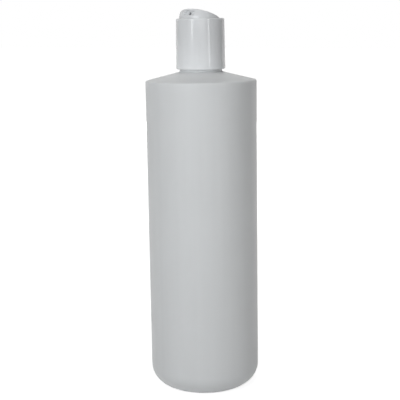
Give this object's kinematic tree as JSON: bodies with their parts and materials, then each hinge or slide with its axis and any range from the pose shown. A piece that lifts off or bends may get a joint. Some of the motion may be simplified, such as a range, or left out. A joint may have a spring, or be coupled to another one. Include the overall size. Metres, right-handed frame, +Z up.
{
  "type": "squeeze bottle with tilting-disc cap",
  "caption": "White round sample bottle for lotion or shampoo, with a screw cap whose top disc tilts up to pour and presses flat to close.",
  "frame": {"origin": "centre of the base, on the surface that the bottle stands on", "axes": "+Z up along the bottle's axis, -Y towards the spout, X along the disc's pivot pins"},
  "size_m": [0.062, 0.062, 0.2145],
  "materials": {
    "bottle_plastic": "satin blown polyethylene, cool white",
    "washer_foam": "matt white polyethylene foam",
    "cap_plastic": "polished moulded polypropylene, cool white",
    "disc_plastic": "polished moulded polypropylene, cool white"
  },
  "bodies": {
    "bottle_body": {"bottle": "bottle_plastic"},
    "washer_body": {"sealing_washer": "washer_foam"},
    "cap_body": {"cap": "cap_plastic"},
    "disc_body": {"pour_disc": "disc_plastic"}
  },
  "joints": [
    {"name": "cap_lift", "type": "slide", "parent": "bottle_body", "child": "washer_body", "axis": [0, 0, 1], "range_m": [0, 0.00476]},
    {"name": "cap_turn", "type": "hinge", "parent": "washer_body", "child": "cap_body", "pos_m": [0, 0, 0.1973], "axis": [0, 0, 1], "range_deg": [0, 540]},
    {"name": "disc_tilt", "type": "hinge", "parent": "cap_body", "child": "disc_body", "pos_m": [0, 0.0018, 0.2077], "axis": [1, 0, 0], "range_deg": [0, 24]}
  ],
  "couplings": [
    {"joint": "cap_lift", "follows": "cap_turn", "m_per_rad": 0.00050532}
  ]
}
